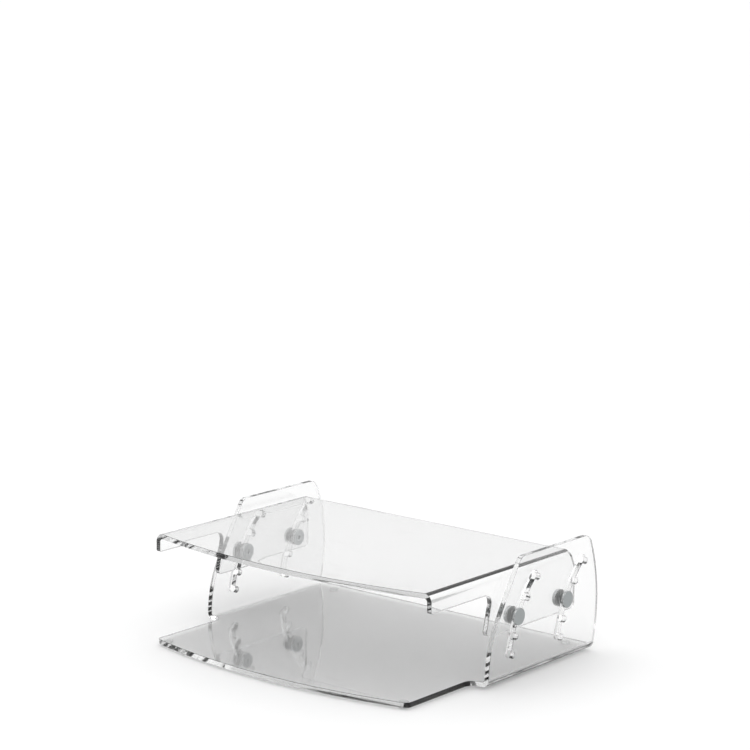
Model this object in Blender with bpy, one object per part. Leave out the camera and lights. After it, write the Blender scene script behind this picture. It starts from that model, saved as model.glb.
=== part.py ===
"""Height-adjustable monitor riser: a bent clear tray, a bent clear shelf, four connector bolts and four feet.

Metres, +Z up, front towards -Y. The origin is on the floor under the middle of the object.
Both acrylic pieces are cut flat, slots and all, and then bent along two straight lines.
"""

from math import asin
from math import atan2
from math import ceil
from math import cos
from math import pi
from math import radians
from math import sin
from math import sqrt
from math import tan

import bmesh
import bpy
from mathutils import Matrix
from mathutils import Vector
from mathutils.geometry import tessellate_polygon

# Tray: the bottom plate with its two upright side panels.
TRAY_WIDTH = 0.3810
TRAY_SHEET = 0.0055
TRAY_BEND_RADIUS = 0.0085
TRAY_REAR_Y = 0.1565
TRAY_UNDERSIDE_Z = 0.0025
TONGUE_HALF_WIDTH = 0.1686
TONGUE_CORNER_Y = -0.1382
TONGUE_BULGE = 0.0229
TONGUE_CORNER_RADIUS = 0.0070
TONGUE_ROOT_RADIUS = 0.0120

# Side panel of the tray, seen from the side.
PANEL_FRONT_Y = -0.0340
PANEL_TOP_Z = 0.1300
PANEL_FRONT_ARC_RADIUS = 0.1200
PANEL_FRONT_LEAN = radians(31.5)
PANEL_FRONT_CORNER_RADIUS = 0.0100
PANEL_REAR_MOST_Y = 0.1611
PANEL_REAR_ARC_RADIUS = 0.1770
PANEL_REAR_ARC_CENTRE_Z = 0.0525
PANEL_REAR_CORNER_RADIUS = 0.0130

# Height slots: a curved channel with five notches that slope down to the rear.
SLOT_CENTRE_Y = 0.1330
SLOT_CENTRE_Z = 0.0061
SLOT_RADIUS = 0.1350
SLOT_WIDTH = 0.0072
SLOT_TOP_CLEARANCE = 0.0025
NOTCH_COUNT = 5
NOTCH_RISE = 0.0186
NOTCH_DEPTH = 0.0072
NOTCH_SLOPE = radians(22)
NOTCH_TIP_RADIUS = 0.0008
MIDDLE_NOTCH_ANGLE = radians(27.55)

# Shelf: the top plate with a flange bent down on each side.
SHELF_SHEET = 0.0055
SHELF_TOP_Z = 0.1178
SHELF_BEND_RADIUS = 0.0089
SHELF_REAR_Y = 0.1144
SHELF_CORNER_Y = -0.1238
SHELF_BULGE = 0.0224
LIP_DEPTH = 0.0203
LIP_CORNER_RADIUS = 0.0030
FLANGE_DEPTH = 0.0638
FLANGE_REAR_Y = 0.1225
FLANGE_FRONT_TOP_Y = -0.0208
FLANGE_FRONT_BOTTOM_Y = -0.0311
FLANGE_INNER_CORNER_RADIUS = 0.0090
FLANGE_CORNER_RADIUS = 0.0050
FLANGE_REAR_FLARE = 0.0120

# Connector bolts: a barrel nut from outside, a cap screw from inside, and two washers.
BOLT_SPACING = 0.0870
HEAD_DIAMETER = 0.0180
BARREL_HEAD_THICKNESS = 0.0030
BARREL_DIAMETER = 0.0064
BARREL_BORE = 0.0044
BARREL_BORE_END_WALL = 0.0020
BARREL_SETBACK = 0.0012
SCREW_HEAD_THICKNESS = 0.0034
SCREW_DIAMETER = 0.0040
SCREW_TIP_GAP = 0.0015
SOCKET_ACROSS_FLATS = 0.0040
SOCKET_DEPTH = 0.0022
HEAD_GROOVE_RADIUS = 0.0056
HEAD_GROOVE_WIDTH = 0.0006
HEAD_GROOVE_DEPTH = 0.0003
HEAD_CHAMFER = 0.0005
FLANGE_HOLE_DIAMETER = 0.0072
WASHER_THICKNESS = 0.0008
SPACER_WASHER_DIAMETER = 0.0160
SPACER_WASHER_HOLE = 0.0072
INNER_WASHER_DIAMETER = 0.0186
INNER_WASHER_HOLE = 0.0048
GAP = 0.0003

# Feet.
FOOT_DIAMETER = 0.0100
FOOT_CONTACT_DIAMETER = 0.0064
FOOT_HEIGHT = TRAY_UNDERSIDE_Z - GAP
FRONT_FOOT_X = 0.1580
FRONT_FOOT_Y = -0.1315
REAR_FOOT_X = 0.1585
REAR_FOOT_Y = 0.1460

# Facets.
FRONT_EDGE_PARTS = 24
FOOT_EDGE_PARTS = 4
BEND_STRIPS = 6
ROUND_SIDES = 24
FINE_ARC_STEP = radians(15)
LONG_ARC_STEP = radians(4)

SIDES = {"left": -1, "right": 1}
CLEARANCE_STACK = WASHER_THICKNESS + 2 * GAP
SHELF_HALF_WIDTH = TRAY_WIDTH / 2 - TRAY_SHEET - CLEARANCE_STACK
NO_RADIUS = 0


def clear_scene():
    """Remove every object of the scene that the script starts from."""
    for item in list(bpy.data.objects):
        bpy.data.objects.remove(item)


def plastic(name, colour, roughness, alpha):
    """A clear or tinted plastic."""
    material = bpy.data.materials.new(name)
    material.use_nodes = True
    shader = material.node_tree.nodes["Principled BSDF"]
    shader.inputs["Base Color"].default_value = (*colour, 1)
    shader.inputs["Roughness"].default_value = roughness
    shader.inputs["Metallic"].default_value = 0
    shader.inputs["Alpha"].default_value = alpha
    material.diffuse_color = (*colour, alpha)
    return material


def metal(name, colour, roughness):
    """A plain satin metal."""
    material = plastic(name, colour, roughness, 1)
    material.node_tree.nodes["Principled BSDF"].inputs["Metallic"].default_value = 1
    return material


def arc(centre, radius, start, end, step):
    """Points on a circle from angle start to angle end, both ends included."""
    count = max(1, ceil(abs(end - start) / step - 1e-6))
    points = []
    for i in range(count + 1):
        angle = start + (end - start) * i / count
        points.append((centre[0] + radius * cos(angle), centre[1] + radius * sin(angle)))
    return points


def shallow_arc(half_width, corner_y, bulge, count):
    """Points of a wide front edge from its left corner to its right one, bowed out towards -Y."""
    radius = (half_width ** 2 + bulge ** 2) / (2 * bulge)
    centre_y = corner_y - bulge + radius
    reach = asin(half_width / radius)
    points = []
    for i in range(count + 1):
        angle = -reach + 2 * reach * i / count
        points.append((radius * sin(angle), centre_y - radius * cos(angle)))
    return points


def rounded(corners):
    """Turn (x, y, radius) corners into a closed outline whose corners are arcs."""
    outline = []
    for i, (x, y, radius) in enumerate(corners):
        here = Vector((x, y))
        if radius == 0:
            outline.append((x, y))
            continue
        before = (Vector(corners[i - 1][:2]) - here).normalized()
        after = (Vector(corners[(i + 1) % len(corners)][:2]) - here).normalized()
        opening = before.angle(after)
        reach = radius / tan(opening / 2)
        centre = here + (before + after).normalized() * radius / sin(opening / 2)
        first = here + before * reach - centre
        sweep = first.angle_signed(here + after * reach - centre)
        start = atan2(first.y, first.x)
        outline += arc(centre, radius, start, start - sweep, FINE_ARC_STEP)
    return outline


class Bend:
    """A sheet that lies flat in the middle and turns by a right angle along a line on each side.

    `upwards` is 1 where the sides turn up and -1 where they turn down. `outer_z` is the height of the
    face that ends up outside, and `half_width` is the distance of that face from the middle.
    """

    def __init__(self, half_width, outer_z, radius, sheet, upwards):
        self.half_width = half_width
        self.outer_z = outer_z
        self.radius = radius
        self.sheet = sheet
        self.upwards = upwards
        self.flat_half = half_width - radius
        self.neutral = radius - sheet / 2
        self.bend_end = self.flat_half + self.neutral * pi / 2

    def flat(self, drop):
        """Flat-sheet distance from the middle of a point of the side, `drop` above or below outer_z."""
        return self.bend_end + drop - self.radius

    def bent(self, across, along, depth):
        """Where a point of the flat sheet goes. `depth` counts from the outer face."""
        side = 1 if across >= 0 else -1
        reach = abs(across)
        if reach <= self.flat_half:
            x = reach
            rise = depth
        elif reach <= self.bend_end:
            angle = (reach - self.flat_half) / self.neutral
            inner = self.radius - depth
            x = self.flat_half + inner * sin(angle)
            rise = self.radius - inner * cos(angle)
        else:
            x = self.half_width - depth
            rise = self.radius + reach - self.bend_end
        return Vector((side * x, along, self.outer_z + self.upwards * rise))

    def lines(self):
        """Distances from the middle at which the flat sheet is divided so that it can turn."""
        step = (self.bend_end - self.flat_half) / BEND_STRIPS
        return [self.flat_half + step * i for i in range(BEND_STRIPS + 1)]


def add_object(name, mesh, material):
    """Link a finished mesh into the scene as a named object."""
    mesh.materials.append(material)
    item = bpy.data.objects.new(name, mesh)
    bpy.context.scene.collection.objects.link(item)
    return item


def make_pivot(name, place):
    """An empty on a joint's axis, which carries the pieces that turn about it."""
    pivot = bpy.data.objects.new(name, None)
    bpy.context.scene.collection.objects.link(pivot)
    pivot.location = place
    return pivot


def hang(item, pivot):
    """Parent an item to a pivot and leave it where it is."""
    bpy.context.view_layer.update()
    item.parent = pivot
    item.matrix_parent_inverse = pivot.matrix_world.inverted()


def bent_sheet(name, outline, holes, bend, material):
    """Extrude a flat outline with holes to its thickness, divide it along the bend and turn its sides."""
    loops = [outline] + holes
    triangles = tessellate_polygon([[Vector((*point, 0)) for point in loop] for loop in loops])
    work = bmesh.new()
    layers = []
    for depth in (0, bend.sheet):
        rings = []
        for loop in loops:
            rings.append([work.verts.new((across, along, depth)) for across, along in loop])
        layers.append(rings)
        flat = [vert for ring in rings for vert in ring]
        for corners in triangles:
            work.faces.new([flat[i] for i in corners])
    for lower, upper in zip(*layers):
        for i in range(len(lower)):
            work.faces.new((lower[i - 1], lower[i], upper[i], upper[i - 1]))
    for distance in bend.lines():
        for side in (-1, 1):
            bmesh.ops.bisect_plane(
                work,
                geom=work.verts[:] + work.edges[:] + work.faces[:],
                dist=1e-7,
                plane_co=(side * distance, 0, 0),
                plane_no=(1, 0, 0),
            )
    for vert in work.verts:
        vert.co = bend.bent(*vert.co)
    bmesh.ops.recalc_face_normals(work, faces=work.faces[:])
    mesh = bpy.data.meshes.new(name)
    work.to_mesh(mesh)
    work.free()
    item = add_object(name, mesh, material)
    mesh.shade_smooth()
    mesh.set_sharp_from_angle(angle=radians(30))
    return item


def turned(name, profile, place, side, material):
    """Spin a closed (radius, outward) profile about X and put it at `place`, facing out on `side`.

    A profile that starts and ends at radius 0 has no edge along the axis.
    """
    work = bmesh.new()
    verts = [work.verts.new((outward, radius, 0)) for radius, outward in profile]
    edges = [work.edges.new((verts[i - 1], verts[i])) for i in range(len(verts))]
    axis_edges = [edge for edge in edges if max(v.co.y for v in edge.verts) < 1e-9]
    for edge in axis_edges:
        work.edges.remove(edge)
    bmesh.ops.spin(
        work,
        geom=work.verts[:] + work.edges[:],
        axis=(1, 0, 0),
        cent=(0, 0, 0),
        steps=ROUND_SIDES,
        angle=2 * pi,
        use_merge=True,
    )
    bmesh.ops.remove_doubles(work, verts=work.verts[:], dist=1e-6)
    bmesh.ops.recalc_face_normals(work, faces=work.faces[:])
    mesh = bpy.data.meshes.new(name)
    work.to_mesh(mesh)
    work.free()
    item = add_object(name, mesh, material)
    mesh.shade_smooth()
    mesh.set_sharp_from_angle(angle=radians(30))
    item.location = place
    item.rotation_euler = (0, 0, 0 if side > 0 else pi)
    return item


def panel_outline():
    """Side view (y, z) of a side panel above its bend, from its front foot over the top to its rear foot."""
    bend_z = TRAY_UNDERSIDE_Z + TRAY_BEND_RADIUS
    centre = (PANEL_FRONT_Y + PANEL_FRONT_ARC_RADIUS, bend_z)
    points = arc(centre, PANEL_FRONT_ARC_RADIUS, pi, pi - PANEL_FRONT_LEAN, LONG_ARC_STEP)
    lean_y, lean_z = points[-1]
    corner_y = lean_y + (PANEL_TOP_Z - lean_z) * tan(PANEL_FRONT_LEAN)
    reach = PANEL_FRONT_CORNER_RADIUS * tan((pi / 2 - PANEL_FRONT_LEAN) / 2)
    corner_centre = (corner_y + reach, PANEL_TOP_Z - PANEL_FRONT_CORNER_RADIUS)
    points += arc(corner_centre, PANEL_FRONT_CORNER_RADIUS, pi - PANEL_FRONT_LEAN, pi / 2, FINE_ARC_STEP)

    rear_y = PANEL_REAR_MOST_Y - PANEL_REAR_ARC_RADIUS
    corner_z = PANEL_TOP_Z - PANEL_REAR_CORNER_RADIUS
    inner_radius = PANEL_REAR_ARC_RADIUS - PANEL_REAR_CORNER_RADIUS
    turn = asin((corner_z - PANEL_REAR_ARC_CENTRE_Z) / inner_radius)
    corner_centre = (rear_y + inner_radius * cos(turn), corner_z)
    points += arc(corner_centre, PANEL_REAR_CORNER_RADIUS, pi / 2, turn, FINE_ARC_STEP)
    foot = -asin((PANEL_REAR_ARC_CENTRE_Z - bend_z) / PANEL_REAR_ARC_RADIUS)
    points += arc((rear_y, PANEL_REAR_ARC_CENTRE_Z), PANEL_REAR_ARC_RADIUS, turn, foot, LONG_ARC_STEP)[1:]
    return points


def channel_point(radius, angle):
    """A point (y, z) of the slot's channel, `angle` up from the horizontal through its centre."""
    return Vector((SLOT_CENTRE_Y - radius * cos(angle), SLOT_CENTRE_Z + radius * sin(angle)))


def notch_angles():
    """Channel angles of the notch mouths, from the top notch down. The heights are evenly spaced."""
    middle = sin(MIDDLE_NOTCH_ANGLE) * SLOT_RADIUS
    half = (NOTCH_COUNT - 1) / 2
    return [asin((middle + (half - i) * NOTCH_RISE) / SLOT_RADIUS) for i in range(NOTCH_COUNT)]


def channel_edge_crossing(start, direction):
    """Where a notch's straight edge crosses the rear edge of the channel."""
    offset = start - Vector((SLOT_CENTRE_Y, SLOT_CENTRE_Z))
    along = offset.dot(direction)
    rear_radius = SLOT_RADIUS - SLOT_WIDTH / 2
    return start + direction * (-along - sqrt(along ** 2 - offset.length_squared + rear_radius ** 2))


def slot_outline():
    """Side view (y, z) of the front slot: the channel's front edge going up, then its notches going down."""
    half = SLOT_WIDTH / 2
    inwards = Vector((cos(NOTCH_SLOPE), -sin(NOTCH_SLOPE)))
    upwards = Vector((sin(NOTCH_SLOPE), cos(NOTCH_SLOPE)))
    angles = notch_angles()
    top_angle = angles[0] + SLOT_TOP_CLEARANCE / SLOT_RADIUS
    centre = (SLOT_CENTRE_Y, SLOT_CENTRE_Z)

    edge = arc(centre, SLOT_RADIUS + half, pi - angles[-1], pi - top_angle, LONG_ARC_STEP)
    corners = [(y, z, NO_RADIUS) for y, z in edge]

    # The round top of the channel runs into the upper edge of the top notch.
    top = channel_point(SLOT_RADIUS, top_angle)
    mouth = channel_point(SLOT_RADIUS, angles[0])
    headroom = half - (top - mouth).dot(upwards)
    meet = asin(headroom / half) - NOTCH_SLOPE
    cap = arc(top, half, pi - top_angle, meet, FINE_ARC_STEP)
    corners += [(y, z, NO_RADIUS) for y, z in cap[1:-1]]
    corners.append((*cap[-1], NOTCH_TIP_RADIUS / 2))

    for i, angle in enumerate(angles):
        mouth = channel_point(SLOT_RADIUS, angle)
        seat = mouth + inwards * NOTCH_DEPTH
        if i > 0:
            corners.append((*channel_edge_crossing(mouth + upwards * half, inwards), NOTCH_TIP_RADIUS))
        end = arc(seat, half, pi / 2 - NOTCH_SLOPE, -pi / 2 - NOTCH_SLOPE, FINE_ARC_STEP)
        corners += [(y, z, NO_RADIUS) for y, z in end]
        if i < NOTCH_COUNT - 1:
            tip = channel_edge_crossing(mouth - upwards * half, inwards)
            corners.append((*tip, NOTCH_TIP_RADIUS))
            next_mouth = channel_point(SLOT_RADIUS, angles[i + 1])
            next_tip = channel_edge_crossing(next_mouth + upwards * half, inwards)
            from_angle = pi - atan2(tip.y - centre[1], centre[0] - tip.x)
            to_angle = pi - atan2(next_tip.y - centre[1], centre[0] - next_tip.x)
            between = arc(centre, SLOT_RADIUS - half, from_angle, to_angle, LONG_ARC_STEP / 2)
            corners += [(y, z, NO_RADIUS) for y, z in between[1:-1]]

    # The bottom of the channel turns round its lowest mouth, back to the front edge.
    lowest = channel_point(SLOT_RADIUS, angles[-1])
    bottom = arc(lowest, half, -pi / 2 - NOTCH_SLOPE, -pi - angles[-1], FINE_ARC_STEP)
    corners += [(y, z, NO_RADIUS) for y, z in bottom[:-1]]
    return rounded(corners)


def tray_outline(bend):
    """Flat outline (across, along) of the tray, its right half first, and the rest mirrored."""
    front = shallow_arc(TONGUE_HALF_WIDTH, TONGUE_CORNER_Y, TONGUE_BULGE, FRONT_EDGE_PARTS)
    right = [(x, y, NO_RADIUS) for x, y in front[FRONT_EDGE_PARTS // 2 + 1:-1]]
    right.append((TONGUE_HALF_WIDTH, TONGUE_CORNER_Y, TONGUE_CORNER_RADIUS))
    right.append((TONGUE_HALF_WIDTH, PANEL_FRONT_Y, TONGUE_ROOT_RADIUS))
    for y, z in panel_outline():
        right.append((bend.flat(z - TRAY_UNDERSIDE_Z), y, NO_RADIUS))
    right.append((bend.flat_half, TRAY_REAR_Y, NO_RADIUS))
    left = [(-x, y, radius) for x, y, radius in reversed(right)]
    middle = (0, TONGUE_CORNER_Y - TONGUE_BULGE, NO_RADIUS)
    return rounded([middle] + right + left)


def make_tray(material):
    """The bottom plate and both side panels, bent from one sheet, with two slots in each panel."""
    bend = Bend(TRAY_WIDTH / 2, TRAY_UNDERSIDE_Z, TRAY_BEND_RADIUS, TRAY_SHEET, 1)
    holes = []
    for side in (1, -1):
        for shift in (0, BOLT_SPACING):
            hole = []
            for y, z in slot_outline():
                hole.append((side * bend.flat(z - TRAY_UNDERSIDE_Z), y + shift))
            holes.append(hole)
    return bent_sheet("base_tray", tray_outline(bend), holes, bend, material)


def shelf_outline(bend):
    """Flat outline (across, along) of the shelf with a short lip in front and a deep flange behind."""
    front = shallow_arc(bend.flat_half, SHELF_CORNER_Y, SHELF_BULGE, FRONT_EDGE_PARTS)
    lip = bend.flat(LIP_DEPTH)
    foot = bend.flat(FLANGE_DEPTH)
    flare_end = bend.flat_half + FLANGE_REAR_FLARE + (FLANGE_REAR_Y - SHELF_REAR_Y)
    right = [(x, y, NO_RADIUS) for x, y in front[FRONT_EDGE_PARTS // 2 + 1:]]
    right += [
        (lip, SHELF_CORNER_Y, LIP_CORNER_RADIUS),
        (lip, FLANGE_FRONT_TOP_Y, FLANGE_INNER_CORNER_RADIUS),
        (foot, FLANGE_FRONT_BOTTOM_Y, FLANGE_CORNER_RADIUS),
        (foot, FLANGE_REAR_Y, FLANGE_CORNER_RADIUS),
        (flare_end, FLANGE_REAR_Y, FLANGE_REAR_FLARE),
        (bend.flat_half + SHELF_BEND_RADIUS / 2, SHELF_REAR_Y, LIP_CORNER_RADIUS),
    ]
    left = [(-x, y, radius) for x, y, radius in reversed(right)]
    middle = (0, SHELF_CORNER_Y - SHELF_BULGE, NO_RADIUS)
    return rounded([middle] + right + left)


def bolt_places():
    """Axis (y, z) of the front and the rear bolts, at the mouth of the middle notch."""
    front = channel_point(SLOT_RADIUS, MIDDLE_NOTCH_ANGLE)
    return {"front": front, "rear": front + Vector((BOLT_SPACING, 0))}


def make_shelf(material):
    """The top plate with its two flanges, bent from one sheet, with two bolt holes in each flange."""
    bend = Bend(SHELF_HALF_WIDTH, SHELF_TOP_Z, SHELF_BEND_RADIUS, SHELF_SHEET, -1)
    holes = []
    for side in (1, -1):
        for y, z in bolt_places().values():
            centre = (side * bend.flat(SHELF_TOP_Z - z), y)
            holes.append(arc(centre, FLANGE_HOLE_DIAMETER / 2, 0, 2 * pi, FINE_ARC_STEP)[:-1])
    return bent_sheet("shelf", shelf_outline(bend), holes, bend, material)


def make_barrel_nut(name, place, side, material):
    """Plain round outer head with a hollow barrel that reaches through the panel into the flange."""
    head = HEAD_DIAMETER / 2
    barrel = BARREL_DIAMETER / 2
    bore = BARREL_BORE / 2
    seat = TRAY_WIDTH / 2 + GAP
    face = seat + BARREL_HEAD_THICKNESS
    inner_end = SHELF_HALF_WIDTH - SHELF_SHEET + BARREL_SETBACK
    profile = [
        (0, face),
        (head - HEAD_CHAMFER, face),
        (head, face - HEAD_CHAMFER),
        (head, seat + HEAD_CHAMFER / 2),
        (head - HEAD_CHAMFER / 2, seat),
        (barrel, seat),
        (barrel, inner_end),
        (bore, inner_end),
        (bore, face - BARREL_BORE_END_WALL),
        (0, face - BARREL_BORE_END_WALL),
    ]
    return turned(name, profile, place, side, material)


def make_cap_screw(name, place, side, material):
    """Inner head with a ring groove and a hexagon socket, and the shank that screws into the barrel."""
    head = HEAD_DIAMETER / 2
    shank = SCREW_DIAMETER / 2
    seat = SHELF_HALF_WIDTH - SHELF_SHEET - WASHER_THICKNESS - 2 * GAP
    face = seat - SCREW_HEAD_THICKNESS
    tip = TRAY_WIDTH / 2 + GAP + BARREL_HEAD_THICKNESS - BARREL_BORE_END_WALL - SCREW_TIP_GAP
    groove_in = HEAD_GROOVE_RADIUS - HEAD_GROOVE_WIDTH / 2
    groove_out = HEAD_GROOVE_RADIUS + HEAD_GROOVE_WIDTH / 2
    profile = [
        (0, tip),
        (shank - HEAD_CHAMFER, tip),
        (shank, tip - HEAD_CHAMFER),
        (shank, seat),
        (head - HEAD_CHAMFER / 2, seat),
        (head, seat - HEAD_CHAMFER / 2),
        (head, face + HEAD_CHAMFER),
        (head - HEAD_CHAMFER, face),
        (groove_out, face),
        (groove_out, face + HEAD_GROOVE_DEPTH),
        (groove_in, face + HEAD_GROOVE_DEPTH),
        (groove_in, face),
        (0, face),
    ]
    screw = turned(name, profile, place, side, material)

    socket_mesh = bpy.data.meshes.new(name + "_socket")
    work = bmesh.new()
    corner_radius = SOCKET_ACROSS_FLATS / 2 / cos(pi / 6)
    bmesh.ops.create_cone(
        work,
        cap_ends=True,
        segments=6,
        radius1=corner_radius,
        radius2=corner_radius,
        depth=2 * SOCKET_DEPTH,
    )
    bmesh.ops.rotate(work, verts=work.verts[:], matrix=Matrix.Rotation(pi / 2, 3, "Y"))
    bmesh.ops.translate(work, verts=work.verts[:], vec=(face, 0, 0))
    work.to_mesh(socket_mesh)
    work.free()
    cutter = bpy.data.objects.new(name + "_socket", socket_mesh)
    bpy.context.scene.collection.objects.link(cutter)
    cutter.parent = screw
    cutter.hide_render = True
    cutter.display_type = "WIRE"
    cut = screw.modifiers.new("socket", "BOOLEAN")
    cut.operation = "DIFFERENCE"
    cut.solver = "EXACT"
    cut.object = cutter
    return screw


def make_washer(name, place, side, inner_face, outer_diameter, hole, material):
    """A thin flat ring whose inner face is `inner_face` from the middle of the object."""
    outer_face = inner_face + WASHER_THICKNESS
    profile = [
        (hole / 2, inner_face),
        (hole / 2, outer_face),
        (outer_diameter / 2, outer_face),
        (outer_diameter / 2, inner_face),
    ]
    return turned(name, profile, place, side, material)


def make_bolt(prefix, place, side, metal_finish, washer_finish):
    """One bolt: barrel nut, cap screw, the spacer between panel and flange, and the washer inside."""
    nut = make_barrel_nut(prefix + "_barrel_nut", place, side, metal_finish)
    screw = make_cap_screw(prefix + "_cap_screw", place, side, metal_finish)
    spacer = make_washer(
        prefix + "_spacer_washer",
        place,
        side,
        SHELF_HALF_WIDTH + GAP,
        SPACER_WASHER_DIAMETER,
        SPACER_WASHER_HOLE,
        washer_finish,
    )
    washer = make_washer(
        prefix + "_inner_washer",
        place,
        side,
        SHELF_HALF_WIDTH - SHELF_SHEET - GAP - WASHER_THICKNESS,
        INNER_WASHER_DIAMETER,
        INNER_WASHER_HOLE,
        washer_finish,
    )
    return [nut, screw, spacer, washer]


def make_foot(name, x, y, material):
    """A low domed bumper with a flat contact face, under the plate."""
    top = FOOT_DIAMETER / 2
    contact = FOOT_CONTACT_DIAMETER / 2
    profile = [(0, 0), (contact, 0)]
    for i in range(1, FOOT_EDGE_PARTS + 1):
        turn = pi / 2 * i / FOOT_EDGE_PARTS
        profile.append((contact + (top - contact) * sin(turn), FOOT_HEIGHT * (1 - cos(turn))))
    profile.append((0, FOOT_HEIGHT))
    foot = turned(name, profile, (x, y, 0), 1, material)
    foot.rotation_euler = (0, -pi / 2, 0)
    return foot


def main():
    clear_scene()
    clear = plastic("clear_acrylic", (0.86, 0.88, 0.88), 0.05, 0.30)
    satin = metal("satin_metal", (0.60, 0.62, 0.62), 0.35)
    nylon = plastic("clear_nylon", (0.84, 0.86, 0.85), 0.30, 0.55)
    soft = plastic("clear_polyurethane", (0.80, 0.82, 0.82), 0.20, 0.60)

    # The front bolts climb about the centre of the slots, and the shelf turns back about the front bolts.
    front_y, front_z = bolt_places()["front"]
    height_pivot = make_pivot("shelf_height", (0, SLOT_CENTRE_Y, SLOT_CENTRE_Z))
    level_pivot = make_pivot("shelf_level", (0, front_y, front_z))
    hang(level_pivot, height_pivot)
    pivots = {"front": height_pivot, "rear": level_pivot}

    make_tray(clear)
    hang(make_shelf(clear), level_pivot)
    for end, (y, z) in bolt_places().items():
        for hand, side in SIDES.items():
            for piece in make_bolt(end + "_" + hand, (0, y, z), side, satin, nylon):
                hang(piece, pivots[end])
    for hand, side in SIDES.items():
        make_foot("front_" + hand + "_foot", side * FRONT_FOOT_X, FRONT_FOOT_Y, soft)
        make_foot("rear_" + hand + "_foot", side * REAR_FOOT_X, REAR_FOOT_Y, soft)


main()
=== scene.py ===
"""The looks of the height-adjustable monitor riser: clear bent acrylic, satin bolts and clear bumper feet.

Metres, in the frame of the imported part. Both acrylic pieces are cut flat with softened edges and bent, as
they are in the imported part, but in finer steps. The bolts, washers and feet are turned with their small
radii.
"""

from math import asin
from math import atan2
from math import ceil
from math import cos
from math import floor
from math import pi
from math import radians
from math import sin
from math import sqrt
from math import tan

import bmesh
import bpy
from mathutils import Matrix
from mathutils import Vector
from mathutils.geometry import tessellate_polygon


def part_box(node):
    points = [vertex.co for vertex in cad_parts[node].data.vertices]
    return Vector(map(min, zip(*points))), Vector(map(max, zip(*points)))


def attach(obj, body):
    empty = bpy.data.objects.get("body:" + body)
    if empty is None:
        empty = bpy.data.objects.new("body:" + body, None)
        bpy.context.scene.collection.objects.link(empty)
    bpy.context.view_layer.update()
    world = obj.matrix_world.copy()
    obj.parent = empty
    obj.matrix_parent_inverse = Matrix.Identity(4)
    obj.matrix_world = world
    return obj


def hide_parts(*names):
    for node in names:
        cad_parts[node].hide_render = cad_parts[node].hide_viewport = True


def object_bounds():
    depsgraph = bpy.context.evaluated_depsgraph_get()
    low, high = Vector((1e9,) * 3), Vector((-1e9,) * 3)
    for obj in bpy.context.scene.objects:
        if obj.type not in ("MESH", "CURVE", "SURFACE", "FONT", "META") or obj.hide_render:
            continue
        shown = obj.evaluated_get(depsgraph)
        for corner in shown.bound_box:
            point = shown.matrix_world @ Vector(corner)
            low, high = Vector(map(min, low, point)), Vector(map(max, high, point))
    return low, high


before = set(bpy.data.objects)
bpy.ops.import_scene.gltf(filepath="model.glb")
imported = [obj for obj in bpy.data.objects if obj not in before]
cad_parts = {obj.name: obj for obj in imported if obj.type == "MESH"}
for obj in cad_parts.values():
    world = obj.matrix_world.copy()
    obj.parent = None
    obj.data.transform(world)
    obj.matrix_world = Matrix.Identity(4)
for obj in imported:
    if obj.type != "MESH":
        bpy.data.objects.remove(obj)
CAD_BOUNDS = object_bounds()

# Places read from the frame.
TRAY_LOW, TRAY_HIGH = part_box("base_tray")
SHELF_LOW, SHELF_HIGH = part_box("shelf")

# Tray.
TRAY_SHEET = 0.0055
TRAY_BEND_RADIUS = 0.0085
TRAY_REAR_Y = 0.1565
TONGUE_HALF_WIDTH = 0.1686
TONGUE_CORNER_Y = -0.1382
TONGUE_BULGE = 0.0229
TONGUE_CORNER_RADIUS = 0.0070
TONGUE_ROOT_RADIUS = 0.0120
PANEL_FRONT_Y = -0.0340
PANEL_FRONT_ARC_RADIUS = 0.1200
PANEL_FRONT_LEAN = radians(31.5)
PANEL_FRONT_CORNER_RADIUS = 0.0100
PANEL_REAR_ARC_RADIUS = 0.1770
PANEL_REAR_ARC_CENTRE_Z = 0.0525
PANEL_REAR_CORNER_RADIUS = 0.0130

# Height slots.
SLOT_CENTRE = Vector((0.1330, 0.0061))
SLOT_RADIUS = 0.1350
SLOT_WIDTH = 0.0072
SLOT_TOP_CLEARANCE = 0.0025
NOTCH_COUNT = 5
NOTCH_RISE = 0.0186
NOTCH_DEPTH = 0.0072
NOTCH_SLOPE = radians(22)
NOTCH_TIP_RADIUS = 0.0008
MIDDLE_NOTCH_ANGLE = radians(27.55)

# Shelf.
SHELF_SHEET = 0.0055
SHELF_BEND_RADIUS = 0.0089
SHELF_REAR_Y = 0.1144
SHELF_CORNER_Y = -0.1238
SHELF_BULGE = 0.0224
LIP_DEPTH = 0.0203
LIP_CORNER_RADIUS = 0.0030
FLANGE_DEPTH = 0.0638
FLANGE_REAR_Y = 0.1225
FLANGE_FRONT_TOP_Y = -0.0208
FLANGE_FRONT_BOTTOM_Y = -0.0311
FLANGE_INNER_CORNER_RADIUS = 0.0090
FLANGE_CORNER_RADIUS = 0.0050
FLANGE_REAR_FLARE = 0.0120
FLANGE_HOLE_DIAMETER = 0.0072

# Bolts, washers and feet.
BOLT_SPACING = 0.0870
HEAD_RADIUS = 0.0090
BARREL_HEAD_THICKNESS = 0.0030
BARREL_RADIUS = 0.0032
BARREL_BORE_RADIUS = 0.0022
BARREL_BORE_END_WALL = 0.0020
SCREW_HEAD_THICKNESS = 0.0034
SCREW_RADIUS = 0.0020
THREAD_PITCH = 0.0007
THREAD_DEPTH = 0.0004
THREAD_CREST = (0.4, 0.6)
PLAIN_PITCHES = 3
SOCKET_APOTHEM = 0.0020
SOCKET_DEPTH = 0.0022
SOCKET_FLOOR_SHARE = 0.9
HEAD_GROOVE_RADIUS = 0.0056
HEAD_GROOVE_WIDTH = 0.0006
HEAD_GROOVE_DEPTH = 0.0003
HEAD_EDGE_RADIUS = 0.0005
WASHER_EDGE_RADIUS = 0.0002
FOOT_TOP_RADIUS = 0.0050
FOOT_CONTACT_RADIUS = 0.0032

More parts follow.
